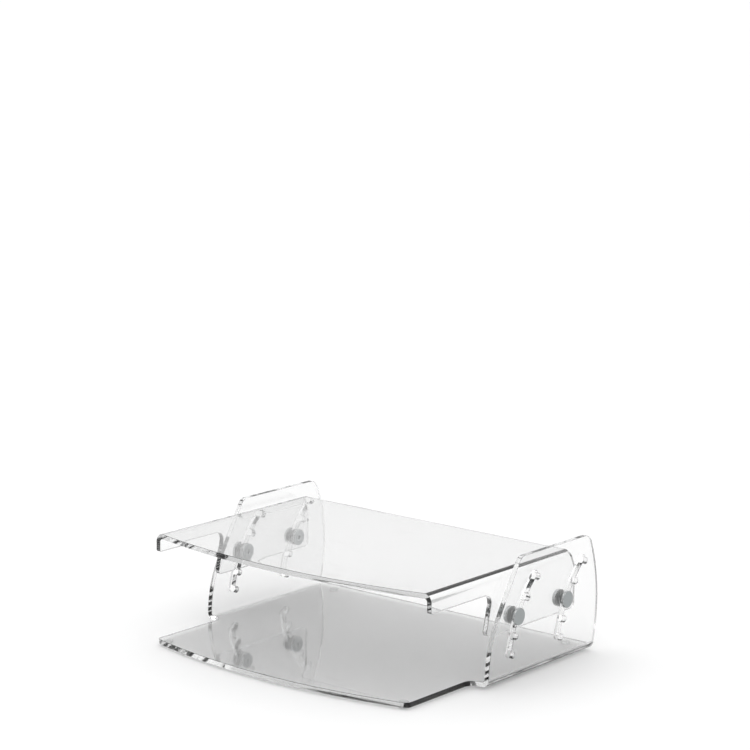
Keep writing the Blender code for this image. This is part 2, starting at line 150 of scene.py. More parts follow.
# Mesh fineness. MITRE_LIMIT keeps an inset corner from running far out along a sharp point. A corner
# nearer to a bend line than CUT_SNAP counts as on it, and an edge under SHORTEST_EDGE is merged away.
EDGE_RADIUS = 0.00035
EDGE_STEPS = 3
BEND_STRIPS = 24
FILLET_STEPS = 4
FINE_ARC_STEP = radians(5)
LONG_ARC_STEP = radians(1.5)
FRONT_EDGE_PARTS = 72
ROUND_SIDES = 96
MITRE_LIMIT = 0.3
CUT_SNAP = 0.000010
SHORTEST_EDGE = 0.000001

# Mesh details.
NO_RADIUS = 0
SHEET_SHARP = 50
TURNED_SHARP = 32
FOOT_EDGE_STEPS = 10
SPACER_HOLE_RADIUS = 0.0036
INNER_HOLE_RADIUS = 0.0024

# Acrylic. Turns are in degrees. A SPAN is the two values between which a pattern fades in.
HAIRLINE_TURNS = ((7, 11, 24), (16, -9, -38), (-12, 21, 71), (31, 5, 118))
HAIRLINE_STRETCH = (14.0, 1100.0, 1100.0)
HAIRLINE_SCALE_STEP = 0.13
HAIRLINE_SPAN = (0.73, 0.755)
HAIRLINE_ROUGH = 0.14
HAIRLINE_DEPTH = 0.000005
HAIRLINE_STRENGTH = 0.7
SMEAR_SCALE = 18.0
SMEAR_SPAN = (0.52, 0.78)
SMEAR_ROUGH = 0.015
DUST_SCALE = 260.0
DUST_SPAN = (0.035, 0.055)
DUST_ROUGH = 0.40
DUST_SHARE = 0.5
DUST_COLOUR = (0.72, 0.73, 0.72, 1.0)
CUTTER_SCALE = 1400.0
CUTTER_ROUGH = 0.004
CUTTER_DEPTH = 0.000004
CUTTER_STRENGTH = 0.8
WAVE_SCALE = 9.0
WAVE_DEPTH = 0.00003
POLISHED_ROUGH = 0.002
ACRYLIC_IOR = 1.465
ACRYLIC_CLEAR = (0.93, 0.931, 0.931, 1.0)
ACRYLIC_TINT = (0.0, 0.03, 0.03, 1.0)
ACRYLIC_DENSITY = 0.5

# Satin metal.
METAL_DARK = (0.30, 0.32, 0.325, 1.0)
METAL_LIGHT = (0.44, 0.46, 0.46, 1.0)
METAL_WORN = (0.62, 0.63, 0.63, 1.0)
METAL_CLOUD_SCALE = 420.0
METAL_CLOUD_SHARE = 0.35
METAL_GRAIN_SCALE = 5200.0
METAL_GRAIN_SHARE = 0.25
METAL_GRAIN_DEPTH = 0.000006
METAL_RING_SCALE = 3800.0
METAL_RING_DEPTH = 0.000010
METAL_MARK_STRENGTH = 0.5
METAL_ROUGH = 0.30
METAL_CLOUD_ROUGH = 0.14
METAL_WORN_ROUGH = -0.12
METAL_WORN_SHARE = 0.5
METAL_WORN_REACH = 0.9

# Moulded plastics.
CLOUD_SCALE = 500.0
CLOUD_SPAN = (0.3, 0.7)
CLOUD_DARKENING = 0.90
SKIN_SCALE = 2600.0
SKIN_DEPTH = 0.00002
SKIN_STRENGTH = 0.6

# Studio.
FLOOR_HALF = 40.0
FLOOR_GAP = 0.0002
FLOOR_DARK = (0.90, 0.90, 0.90, 1.0)
FLOOR_LIGHT = (0.915, 0.915, 0.915, 1.0)
FLOOR_MOTTLE_SCALE = 1.3
FLOOR_ROUGH = 0.9
FLOOR_SHINE = 0.1
SKY_LOW = 0.10
SKY_HIGH = 0.80
SKY_DARK = 0.76
SKY_BRIGHT = 1.30
FLAG_START = 0.70
FLAG_END = 0.80
FLAG_TOP = 0.45
FLAG_SOFT = 0.10
FLAG_LEVEL = 0.20
SOFTBOX_PLACE = (-0.5, -0.6, 2.0)
SOFTBOX_TARGET = (0, 0, 0.06)
SOFTBOX_SIZE = 1.6
SOFTBOX_POWER = 3.0
LIGHT_BOUNCES = 14

# Camera.
CAMERA_PLACE = (1.6283, -2.0496, 0.7827)
CAMERA_YAW = radians(38.28)
CAMERA_PITCH = radians(10.54)
CAMERA_ROLL = radians(1.006)
CAMERA_LENS = 122.48
CAMERA_SENSOR = 36.0
CAMERA_REACH = 200.0


def arc(centre, radius, start, end, step):
    """Points on a circle from angle start to angle end, both ends included."""
    count = max(1, ceil(abs(end - start) / step - 1e-6))
    points = []
    for i in range(count + 1):
        angle = start + (end - start) * i / count
        points.append((centre[0] + radius * cos(angle), centre[1] + radius * sin(angle)))
    return points


def shallow_arc(half_width, corner_y, bulge, count):
    """Points of a wide front edge from its left corner to its right one, bowed out towards -Y."""
    radius = (half_width ** 2 + bulge ** 2) / (2 * bulge)
    centre_y = corner_y - bulge + radius
    reach = asin(half_width / radius)
    points = []
    for i in range(count + 1):
        angle = -reach + 2 * reach * i / count
        points.append((radius * sin(angle), centre_y - radius * cos(angle)))
    return points


def rounded(corners):
    """Turn (x, y, radius) corners into a closed outline whose corners are arcs."""
    outline = []
    for i, (x, y, radius) in enumerate(corners):
        here = Vector((x, y))
        if radius == 0:
            outline.append((x, y))
            continue
        before = (Vector(corners[i - 1][:2]) - here).normalized()
        after = (Vector(corners[(i + 1) % len(corners)][:2]) - here).normalized()
        opening = before.angle(after)
        reach = radius / tan(opening / 2)
        centre = here + (before + after).normalized() * radius / sin(opening / 2)
        first = here + before * reach - centre
        sweep = first.angle_signed(here + after * reach - centre)
        start = atan2(first.y, first.x)
        outline += arc(centre, radius, start, start - sweep, FINE_ARC_STEP)
    return outline


def signed_area(loop):
    """Twice the area inside a loop, positive where it runs anticlockwise."""
    total = 0
    for i in range(len(loop)):
        (x0, y0), (x1, y1) = loop[i - 1], loop[i]
        total += x0 * y1 - x1 * y0
    return total


def inset(loop, distance, into_hole):
    """Move a loop into the sheet: inwards for an outline, outwards for a hole."""
    turn = 1 if (signed_area(loop) > 0) != into_hole else -1
    moved = []
    for i, point in enumerate(loop):
        here = Vector(point)
        before = (here - Vector(loop[i - 1])).normalized()
        after = (Vector(loop[(i + 1) % len(loop)]) - here).normalized()
        along = (before + after).normalized()
        inward = Vector((-along.y, along.x)) * turn
        moved.append(here + inward * distance / max(MITRE_LIMIT, along.dot(after)))
    return moved


class Bend:
    """A sheet that lies flat in the middle and turns by a right angle along a line on each side."""

    def __init__(self, half_width, outer_z, radius, sheet, upwards):
        self.half_width = half_width
        self.outer_z = outer_z
        self.radius = radius
        self.sheet = sheet
        self.upwards = upwards
        self.flat_half = half_width - radius
        self.neutral = radius - sheet / 2
        self.bend_end = self.flat_half + self.neutral * pi / 2

    def flat(self, drop):
        """Flat-sheet distance from the middle of a point of the side, `drop` above or below outer_z."""
        return self.bend_end + drop - self.radius

    def bent(self, across, along, depth):
        """Where a point of the flat sheet goes. `depth` counts from the outer face."""
        side = 1 if across >= 0 else -1
        reach = abs(across)
        if reach <= self.flat_half:
            x = reach
            rise = depth
        elif reach <= self.bend_end:
            angle = (reach - self.flat_half) / self.neutral
            inner = self.radius - depth
            x = self.flat_half + inner * sin(angle)
            rise = self.radius - inner * cos(angle)
        else:
            x = self.half_width - depth
            rise = self.radius + reach - self.bend_end
        return Vector((side * x, along, self.outer_z + self.upwards * rise))

    def lines(self):
        """Distances from the middle at which the flat sheet is divided so that it can turn."""
        step = (self.bend_end - self.flat_half) / BEND_STRIPS
        return [self.flat_half + step * i for i in range(BEND_STRIPS + 1)]


def finished(name, work, material, sharp):
    """Make the bmesh a smooth-shaded object whose flat faces stay flat."""
    bmesh.ops.recalc_face_normals(work, faces=work.faces[:])
    if work.calc_volume(signed=True) < 0:
        bmesh.ops.reverse_faces(work, faces=work.faces[:])
    mesh = bpy.data.meshes.new(name)
    work.to_mesh(mesh)
    work.free()
    mesh.materials.append(material)
    mesh.shade_smooth()
    mesh.set_sharp_from_angle(angle=radians(sharp))
    item = bpy.data.objects.new(name, mesh)
    bpy.context.scene.collection.objects.link(item)
    weighted = item.modifiers.new("flat_faces_stay_flat", "WEIGHTED_NORMAL")
    weighted.keep_sharp = True
    weighted.weight = 100
    return item


def declare(item, node, body):
    """Hide the CAD node a finished piece stands in for, and hang the piece on the body it rides on."""
    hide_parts(node)
    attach(item, body)


def bent_sheet(name, outline, holes, bend, material):
    """A sheet with softened edges, cut flat and bent. Its cut edges are marked for the material."""
    work = bmesh.new()
    cut = work.faces.layers.float.new("cut_edge")
    run = work.loops.layers.float.new("cut_run")
    levels = []
    for i in range(EDGE_STEPS + 1):
        turn = pi / 2 * i / EDGE_STEPS
        levels.append((EDGE_RADIUS * (1 - sin(turn)), EDGE_RADIUS * (1 - cos(turn))))
    levels += [(pull, bend.sheet - depth) for pull, depth in reversed(levels)]

    stacks = []
    for loop in [outline] + holes:
        rings = []
        for pull, depth in levels:
            moved = inset(loop, pull, loop is not outline)
            rings.append([work.verts.new((*point, depth)) for point in moved])
        stacks.append(rings)
        length = 0.0
        for i in range(len(loop)):
            step = (Vector(loop[i]) - Vector(loop[i - 1])).length
            for lower, upper in zip(rings, rings[1:]):
                face = work.faces.new((lower[i - 1], lower[i], upper[i], upper[i - 1]))
                face[cut] = 1.0
                for corner, reach in zip(face.loops, (length, length + step, length + step, length)):
                    corner[run] = reach
            length += step
    for level in (0, -1):
        caps = [rings[level] for rings in stacks]
        flat = [vert for ring in caps for vert in ring]
        for corners in tessellate_polygon([[Vector((*vert.co.xy, 0)) for vert in ring] for ring in caps]):
            work.faces.new([flat[i] for i in corners])
    for distance in bend.lines():
        for side in (-1, 1):
            bmesh.ops.bisect_plane(
                work,
                geom=work.verts[:] + work.edges[:] + work.faces[:],
                dist=CUT_SNAP,
                plane_co=(side * distance, 0, 0),
                plane_no=(1, 0, 0),
            )
    for vert in work.verts:
        vert.co = bend.bent(*vert.co)
    bmesh.ops.dissolve_degenerate(work, dist=SHORTEST_EDGE, edges=work.edges[:])
    return finished(name, work, material, SHEET_SHARP)


def circle(angle):
    """The shape factor of a round row."""
    return 1.0


def hexagon(angle):
    """The shape factor of a row that is a hexagon around a circle."""
    sixth = pi / 3
    return 1 / cos((angle + sixth / 2) % sixth - sixth / 2)


def turned(name, rows, material, closed=False):
    """A turned piece about the X axis, made of rows (radius, outward, shape). Radius 0 is a single point."""
    work = bmesh.new()
    rings = []
    for radius, outward, shape in rows:
        if radius == 0:
            rings.append([work.verts.new((outward, 0, 0))])
            continue
        ring = []
        for i in range(ROUND_SIDES):
            angle = 2 * pi * i / ROUND_SIDES
            reach = radius * shape(angle)
            ring.append(work.verts.new((outward, reach * cos(angle), reach * sin(angle))))
        rings.append(ring)
    pairs = list(zip(rings, rings[1:]))
    if closed:
        pairs.append((rings[-1], rings[0]))
    for first, second in pairs:
        for i in range(ROUND_SIDES):
            if len(first) == 1:
                work.faces.new((first[0], second[i - 1], second[i]))
            elif len(second) == 1:
                work.faces.new((first[i - 1], first[i], second[0]))
            else:
                work.faces.new((first[i - 1], first[i], second[i], second[i - 1]))
    return finished(name, work, material, TURNED_SHARP)


def rounding(radius, outward, size, start, end):
    """Rows of a small round edge about (radius, outward). Angles are in degrees, 0 away from the axis."""
    rows = []
    for i in range(FILLET_STEPS + 1):
        turn = radians(start + (end - start) * i / FILLET_STEPS)
        rows.append((radius + size * cos(turn), outward + size * sin(turn), circle))
    return rows


def panel_outline():
    """Side view (y, z) of a side panel above its bend, from its front foot over the top to its rear foot."""
    top_z = TRAY_HIGH.z
    bend_z = TRAY_LOW.z + TRAY_BEND_RADIUS
    centre = (PANEL_FRONT_Y + PANEL_FRONT_ARC_RADIUS, bend_z)
    points = arc(centre, PANEL_FRONT_ARC_RADIUS, pi, pi - PANEL_FRONT_LEAN, LONG_ARC_STEP)
    lean_y, lean_z = points[-1]
    corner_y = lean_y + (top_z - lean_z) * tan(PANEL_FRONT_LEAN)
    reach = PANEL_FRONT_CORNER_RADIUS * tan((pi / 2 - PANEL_FRONT_LEAN) / 2)
    corner_centre = (corner_y + reach, top_z - PANEL_FRONT_CORNER_RADIUS)
    points += arc(corner_centre, PANEL_FRONT_CORNER_RADIUS, pi - PANEL_FRONT_LEAN, pi / 2, FINE_ARC_STEP)

    rear_y = TRAY_HIGH.y - PANEL_REAR_ARC_RADIUS
    corner_z = top_z - PANEL_REAR_CORNER_RADIUS
    inner_radius = PANEL_REAR_ARC_RADIUS - PANEL_REAR_CORNER_RADIUS
    turn = asin((corner_z - PANEL_REAR_ARC_CENTRE_Z) / inner_radius)
    corner_centre = (rear_y + inner_radius * cos(turn), corner_z)
    points += arc(corner_centre, PANEL_REAR_CORNER_RADIUS, pi / 2, turn, FINE_ARC_STEP)
    foot = -asin((PANEL_REAR_ARC_CENTRE_Z - bend_z) / PANEL_REAR_ARC_RADIUS)
    points += arc((rear_y, PANEL_REAR_ARC_CENTRE_Z), PANEL_REAR_ARC_RADIUS, turn, foot, LONG_ARC_STEP)[1:]
    return points


def channel_point(radius, angle):
    """A point (y, z) of the slot's channel, `angle` up from the horizontal through its centre."""
    return SLOT_CENTRE + Vector((-radius * cos(angle), radius * sin(angle)))


def notch_angles():
    """Channel angles of the notch mouths, from the top notch down. The heights are evenly spaced."""
    middle = sin(MIDDLE_NOTCH_ANGLE) * SLOT_RADIUS
    half = (NOTCH_COUNT - 1) / 2
    return [asin((middle + (half - i) * NOTCH_RISE) / SLOT_RADIUS) for i in range(NOTCH_COUNT)]


def channel_edge_crossing(start, direction):
    """Where a notch's straight edge crosses the rear edge of the channel."""
    offset = start - SLOT_CENTRE
    along = offset.dot(direction)
    rear_radius = SLOT_RADIUS - SLOT_WIDTH / 2
    return start + direction * (-along - sqrt(along ** 2 - offset.length_squared + rear_radius ** 2))


def slot_outline():
    """Side view (y, z) of the front slot: the channel's front edge going up, then its notches going down."""
    half = SLOT_WIDTH / 2
    inwards = Vector((cos(NOTCH_SLOPE), -sin(NOTCH_SLOPE)))
    upwards = Vector((sin(NOTCH_SLOPE), cos(NOTCH_SLOPE)))
    angles = notch_angles()
    top_angle = angles[0] + SLOT_TOP_CLEARANCE / SLOT_RADIUS

    edge = arc(SLOT_CENTRE, SLOT_RADIUS + half, pi - angles[-1], pi - top_angle, LONG_ARC_STEP)
    corners = [(y, z, NO_RADIUS) for y, z in edge]

    # The round top of the channel runs into the upper edge of the top notch.
    top = channel_point(SLOT_RADIUS, top_angle)
    mouth = channel_point(SLOT_RADIUS, angles[0])
    headroom = half - (top - mouth).dot(upwards)
    meet = asin(headroom / half) - NOTCH_SLOPE
    cap = arc(top, half, pi - top_angle, meet, FINE_ARC_STEP)
    corners += [(y, z, NO_RADIUS) for y, z in cap[1:-1]]
    corners.append((*cap[-1], NOTCH_TIP_RADIUS / 2))

    for i, angle in enumerate(angles):
        mouth = channel_point(SLOT_RADIUS, angle)
        seat = mouth + inwards * NOTCH_DEPTH
        if i > 0:
            corners.append((*channel_edge_crossing(mouth + upwards * half, inwards), NOTCH_TIP_RADIUS))
        end = arc(seat, half, pi / 2 - NOTCH_SLOPE, -pi / 2 - NOTCH_SLOPE, FINE_ARC_STEP)
        corners += [(y, z, NO_RADIUS) for y, z in end]
        if i < NOTCH_COUNT - 1:
            tip = channel_edge_crossing(mouth - upwards * half, inwards)
            corners.append((*tip, NOTCH_TIP_RADIUS))
            next_mouth = channel_point(SLOT_RADIUS, angles[i + 1])
            next_tip = channel_edge_crossing(next_mouth + upwards * half, inwards)
            from_angle = pi - atan2(tip.y - SLOT_CENTRE.y, SLOT_CENTRE.x - tip.x)
            to_angle = pi - atan2(next_tip.y - SLOT_CENTRE.y, SLOT_CENTRE.x - next_tip.x)
            between = arc(SLOT_CENTRE, SLOT_RADIUS - half, from_angle, to_angle, LONG_ARC_STEP)
            # The arc's ends are left to the rounded tips.
            corners += [(y, z, NO_RADIUS) for y, z in between[2:-2]]

    # The bottom of the channel turns round its lowest mouth, back to the front edge.
    lowest = channel_point(SLOT_RADIUS, angles[-1])
    bottom = arc(lowest, half, -pi / 2 - NOTCH_SLOPE, -pi - angles[-1], FINE_ARC_STEP)
    corners += [(y, z, NO_RADIUS) for y, z in bottom[1:-1]]
    return rounded(corners)


def tray_outline(bend):
    """Flat outline (across, along) of the tray, its right half first, and the rest mirrored."""
    front = shallow_arc(TONGUE_HALF_WIDTH, TONGUE_CORNER_Y, TONGUE_BULGE, FRONT_EDGE_PARTS)
    right = [(x, y, NO_RADIUS) for x, y in front[FRONT_EDGE_PARTS // 2 + 1:-2]]
    right.append((TONGUE_HALF_WIDTH, TONGUE_CORNER_Y, TONGUE_CORNER_RADIUS))
    right.append((TONGUE_HALF_WIDTH, PANEL_FRONT_Y, TONGUE_ROOT_RADIUS))
    for y, z in panel_outline():
        right.append((bend.flat(z - TRAY_LOW.z), y, NO_RADIUS))
    right.append((bend.flat_half, TRAY_REAR_Y, NO_RADIUS))
    left = [(-x, y, radius) for x, y, radius in reversed(right)]
    middle = (0, TONGUE_CORNER_Y - TONGUE_BULGE, NO_RADIUS)
    return rounded([middle] + right + left)


def make_tray(material):
    """The bottom plate and both side panels, bent from one sheet, with two slots in each panel."""
    bend = Bend(TRAY_HIGH.x, TRAY_LOW.z, TRAY_BEND_RADIUS, TRAY_SHEET, 1)
    holes = []
    for side in (1, -1):
        for shift in (0, BOLT_SPACING):
            holes.append([(side * bend.flat(z - TRAY_LOW.z), y + shift) for y, z in slot_outline()])
    tray = bent_sheet("tray_sheet", tray_outline(bend), holes, bend, material)
    declare(tray, "base_tray", "tray")


def shelf_outline(bend):
    """Flat outline (across, along) of the shelf with a short lip in front and a deep flange behind."""
    front = shallow_arc(bend.flat_half, SHELF_CORNER_Y, SHELF_BULGE, FRONT_EDGE_PARTS)
    lip = bend.flat(LIP_DEPTH)
    foot = bend.flat(FLANGE_DEPTH)
    flare_end = bend.flat_half + FLANGE_REAR_FLARE + (FLANGE_REAR_Y - SHELF_REAR_Y)
    right = [(x, y, NO_RADIUS) for x, y in front[FRONT_EDGE_PARTS // 2 + 1:]]
    right += [
        (lip, SHELF_CORNER_Y, LIP_CORNER_RADIUS),
        (lip, FLANGE_FRONT_TOP_Y, FLANGE_INNER_CORNER_RADIUS),
        (foot, FLANGE_FRONT_BOTTOM_Y, FLANGE_CORNER_RADIUS),
        (foot, FLANGE_REAR_Y, FLANGE_CORNER_RADIUS),
        (flare_end, FLANGE_REAR_Y, FLANGE_REAR_FLARE),
        (bend.flat_half + SHELF_BEND_RADIUS / 2, SHELF_REAR_Y, LIP_CORNER_RADIUS),
    ]
    left = [(-x, y, radius) for x, y, radius in reversed(right)]
    middle = (0, SHELF_CORNER_Y - SHELF_BULGE, NO_RADIUS)
    return rounded([middle] + right + left)


def bolt_places():
    """Axis (y, z) of the front and the rear bolts, at the mouth of the middle notch."""
    front = channel_point(SLOT_RADIUS, MIDDLE_NOTCH_ANGLE)
    return {"front": front, "rear": front + Vector((BOLT_SPACING, 0))}


def make_shelf(material):
    """The top plate with its two flanges, bent from one sheet, with two bolt holes in each flange."""
    bend = Bend(SHELF_HIGH.x, SHELF_HIGH.z, SHELF_BEND_RADIUS, SHELF_SHEET, -1)
    holes = []
    for side in (1, -1):
        for y, z in bolt_places().values():
            centre = (side * bend.flat(SHELF_HIGH.z - z), y)
            holes.append(arc(centre, FLANGE_HOLE_DIAMETER / 2, 0, 2 * pi, FINE_ARC_STEP)[:-1])
    shelf = bent_sheet("shelf_sheet", shelf_outline(bend), holes, bend, material)
    declare(shelf, "shelf", "shelf_carriage")


def outward_span(node):
    """The nearest and the farthest distance of a side node from the middle of the object."""
    low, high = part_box(node)
    return sorted((abs(low.x), abs(high.x)))


def make_barrel_nut(prefix, material):
    """Plain round outer head with softened rims, and the bored barrel behind it."""
    inner, face = outward_span(prefix + "_barrel_nut")
    seat = face - BARREL_HEAD_THICKNESS
    edge = HEAD_EDGE_RADIUS
    small = edge / 2
    rows = [(0, face, circle)]
    rows += rounding(HEAD_RADIUS - edge, face - edge, edge, 90, 0)
    rows += rounding(HEAD_RADIUS - small, seat + small, small, 0, -90)
    rows += [(BARREL_RADIUS + small, seat, circle), (BARREL_RADIUS, seat - small, circle)]
    rows += rounding(BARREL_RADIUS - small, inner + small, small, 0, -90)
    rows += rounding(BARREL_BORE_RADIUS + small, inner + small, small, -90, -180)
    bottom = face - BARREL_BORE_END_WALL
    rows += [(BARREL_BORE_RADIUS, bottom, circle), (0, bottom, circle)]
    return turned(prefix + "_nut_turned", rows, material)


def thread_rows(start, end):
    """Rows of a fine thread on the shank, drawn as rings one pitch apart."""
    rows = []
    count = floor((end - start) / THREAD_PITCH)
    for i in range(count):
        here = start + i * THREAD_PITCH
        rows.append((SCREW_RADIUS - THREAD_DEPTH, here, circle))
        for share in THREAD_CREST:
            rows.append((SCREW_RADIUS, here + THREAD_PITCH * share, circle))
    rows.append((SCREW_RADIUS - THREAD_DEPTH, start + count * THREAD_PITCH, circle))
    return rows


def make_cap_screw(prefix, material):
    """Inner head with a ring groove and a hexagon socket, and the threaded shank."""
    face, tip = outward_span(prefix + "_cap_screw")
    seat = face + SCREW_HEAD_THICKNESS
    edge = HEAD_EDGE_RADIUS
    small = edge / 2
    floor_at = face + SOCKET_DEPTH
    groove_in = HEAD_GROOVE_RADIUS - HEAD_GROOVE_WIDTH / 2
    groove_out = HEAD_GROOVE_RADIUS + HEAD_GROOVE_WIDTH / 2
    corner = SOCKET_APOTHEM / cos(pi / 6)
    rows = [
        (0, floor_at + edge, circle),
        (SOCKET_APOTHEM * SOCKET_FLOOR_SHARE, floor_at, circle),
        (SOCKET_APOTHEM, floor_at, hexagon),
        (SOCKET_APOTHEM, face + small, hexagon),
        (corner + small / 2, face, circle),
        (groove_in, face, circle),
        (groove_in + small / 3, face + HEAD_GROOVE_DEPTH, circle),
        (groove_out - small / 3, face + HEAD_GROOVE_DEPTH, circle),
        (groove_out, face, circle),
    ]
    rows += rounding(HEAD_RADIUS - edge, face + edge, edge, -90, 0)
    rows += rounding(HEAD_RADIUS - small, seat - small, small, 0, 90)
    rows += [(SCREW_RADIUS + small, seat, circle), (SCREW_RADIUS, seat + small, circle)]
    rows += thread_rows(seat + THREAD_PITCH * PLAIN_PITCHES, tip - edge)
    rows += [(SCREW_RADIUS - edge, tip, circle), (0, tip, circle)]
    return turned(prefix + "_screw_turned", rows, material)


def make_washer(prefix, kind, hole_radius, material):
    """A thin ring with softened rims."""
    node = prefix + "_" + kind
    inner, outer = outward_span(node)
    low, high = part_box(node)
    radius = (high.z - low.z) / 2
    soft = WASHER_EDGE_RADIUS
    rows = rounding(radius - soft, outer - soft, soft, 90, 0)
    rows += rounding(radius - soft, inner + soft, soft, 0, -90)
    rows += rounding(hole_radius + soft, inner + soft, soft, -90, -180)
    rows += rounding(hole_radius + soft, outer - soft, soft, 180, 90)
    return turned(node + "_ring", rows, material, closed=True)


def make_bolt(end, hand, place, materials):
    """One bolt's four pieces on their axis, each riding on its own body."""
    prefix = end + "_" + hand
    carrier = "front_bolts" if end == "front" else "shelf_carriage"
    nut = make_barrel_nut(prefix, materials["metal"])
    screw = make_cap_screw(prefix, materials["metal"])
    spacer = make_washer(prefix, "spacer_washer", SPACER_HOLE_RADIUS, materials["nylon"])
    washer = make_washer(prefix, "inner_washer", INNER_HOLE_RADIUS, materials["nylon"])
    for piece in (nut, screw, spacer, washer):
        piece.location = (0, *place)
        piece.rotation_euler = (0, 0, 0 if hand == "right" else pi)
    bpy.context.view_layer.update()
    declare(nut, prefix + "_barrel_nut", carrier)
    declare(screw, prefix + "_cap_screw", prefix + "_screw")
    declare(spacer, prefix + "_spacer_washer", carrier)
    declare(washer, prefix + "_inner_washer", carrier)


def make_foot(node, material):
    """A low domed bumper with a flat contact face."""
    low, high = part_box(node)
    height = high.z - low.z
    rows = [(0, 0, circle)]
    for i in range(FOOT_EDGE_STEPS + 1):
        turn = pi / 2 * i / FOOT_EDGE_STEPS
        spread = (FOOT_TOP_RADIUS - FOOT_CONTACT_RADIUS) * sin(turn)
        rows.append((FOOT_CONTACT_RADIUS + spread, height * (1 - cos(turn)), circle))
    rows.append((0, height, circle))
    foot = turned(node + "_bumper", rows, material)
    foot.location = ((low.x + high.x) / 2, (low.y + high.y) / 2, low.z)
    foot.rotation_euler = (0, -pi / 2, 0)
    bpy.context.view_layer.update()
    declare(foot, node, "tray")


class Nodes:
    """A short way to add and link shader nodes."""

    def __init__(self, tree):
        self.tree = tree

    def add(self, kind, links=(), **settings):
        """Add a node, set its properties, and link or set its inputs from (socket, value) pairs."""
        node = self.tree.nodes.new(kind)
        for key, value in settings.items():
            setattr(node, key, value)
        for socket, value in links:
            self.feed(node.inputs[socket], value)
        return node

    def feed(self, socket, value):
        """Link a socket to another one, or set its value."""
        if isinstance(value, bpy.types.NodeSocket):
            self.tree.links.new(value, socket)
        else:
            socket.default_value = value

    def math(self, operation, first, second=0.0, third=0.0):
        """One Math node."""
        node = self.add("ShaderNodeMath", [(0, first), (1, second), (2, third)], operation=operation)
        return node.outputs[0]

    def smooth(self, value, low, high, to_low=0.0, to_high=1.0):
        """Map a value from one range to another with soft ends."""
        links = [("Value", value), (1, low), (2, high), (3, to_low), (4, to_high)]
        node = self.add("ShaderNodeMapRange", links, interpolation_type="SMOOTHSTEP")
        return node.outputs["Result"]

    def stretch(self, vector, scale, turn=(0, 0, 0)):
        """Turn and scale a coordinate."""
        links = [("Vector", vector), ("Rotation", turn), ("Scale", scale)]
        return self.add("ShaderNodeMapping", links).outputs["Vector"]

    def noise(self, vector, scale, detail=2.0, rough=0.5):
        """Plain noise, from 0 to 1."""
        links = [("Vector", vector), ("Scale", scale), ("Detail", detail), ("Roughness", rough)]
        return self.add("ShaderNodeTexNoise", links).outputs["Fac"]

    def line_noise(self, value, scale, detail=2.0):
        """Noise along one value, from 0 to 1."""
        links = [("W", value), ("Scale", scale), ("Detail", detail)]
        return self.add("ShaderNodeTexNoise", links, noise_dimensions="1D").outputs["Fac"]

    def mixed(self, factor, first, second):
        """A colour between two others."""
        links = [("Factor", factor), (6, first), (7, second)]
        return self.add("ShaderNodeMix", links, data_type="RGBA").outputs[2]

    def bump(self, height, distance, strength=1.0, normal=None):
        """Bump from a height, on top of another normal if one is given."""
        links = [("Height", height), ("Distance", distance), ("Strength", strength)]
        if normal is not None:
            links.append(("Normal", normal))
        return self.add("ShaderNodeBump", links).outputs["Normal"]


def new_material(name):
    """A material with a Principled shader. Gives the material, its node helper and the shader."""
    material = bpy.data.materials.new(name)
    material.use_nodes = True
    nodes = Nodes(material.node_tree)
    return material, nodes, material.node_tree.nodes["Principled BSDF"]


def scratches(nodes, place):
    """Sparse hairlines in four directions on each face, from 0 to 1."""
    total = 0.0
    for i, turn in enumerate(HAIRLINE_TURNS):
        streak = nodes.stretch(place, HAIRLINE_STRETCH, tuple(radians(angle) for angle in turn))
        lines = nodes.smooth(nodes.noise(streak, 1.0 + HAIRLINE_SCALE_STEP * i), *HAIRLINE_SPAN)
        total = nodes.math("MAXIMUM", lines, total)
    return total


def clear_acrylic():
    """Polished sheet with faint hairlines and dust, and cut edges that keep fine marks of the cutter."""
    material, nodes, shader = new_material("clear_acrylic")
    place = nodes.add("ShaderNodeTexCoord").outputs["Object"]
    cut = nodes.add("ShaderNodeAttribute", attribute_name="cut_edge").outputs["Fac"]
    run = nodes.add("ShaderNodeAttribute", attribute_name="cut_run").outputs["Fac"]

    lines = scratches(nodes, place)
    smear = nodes.smooth(nodes.noise(place, SMEAR_SCALE, 3.0), *SMEAR_SPAN)
    dust = nodes.add("ShaderNodeTexVoronoi", [("Vector", place), ("Scale", DUST_SCALE)]).outputs["Distance"]
    specks = nodes.smooth(dust, *DUST_SPAN, 1.0, 0.0)
    cutter = nodes.line_noise(run, CUTTER_SCALE)

    rough = nodes.math("MULTIPLY_ADD", smear, SMEAR_ROUGH, POLISHED_ROUGH)
    rough = nodes.math("MULTIPLY_ADD", lines, HAIRLINE_ROUGH, rough)
    rough = nodes.math("MULTIPLY_ADD", specks, DUST_ROUGH, rough)
    rough = nodes.math("MULTIPLY_ADD", cut, CUTTER_ROUGH, rough)
    nodes.feed(shader.inputs["Roughness"], rough)
    tint = nodes.mixed(nodes.math("MULTIPLY", specks, DUST_SHARE), ACRYLIC_CLEAR, DUST_COLOUR)
    nodes.feed(shader.inputs["Base Color"], tint)

    wave = nodes.bump(nodes.noise(place, WAVE_SCALE, 1.0), WAVE_DEPTH)
    hair = nodes.bump(nodes.math("SUBTRACT", 0.0, lines), HAIRLINE_DEPTH, HAIRLINE_STRENGTH, wave)
    marks = nodes.bump(nodes.math("MULTIPLY", cutter, cut), CUTTER_DEPTH, CUTTER_STRENGTH, hair)
    nodes.feed(shader.inputs["Normal"], marks)

    shader.inputs["Transmission Weight"].default_value = 1.0
    shader.inputs["IOR"].default_value = ACRYLIC_IOR
    absorb = nodes.add("ShaderNodeVolumeAbsorption", [("Color", ACRYLIC_TINT), ("Density", ACRYLIC_DENSITY)])
    output = material.node_tree.nodes["Material Output"]
    nodes.feed(output.inputs["Volume"], absorb.outputs["Volume"])
    return material


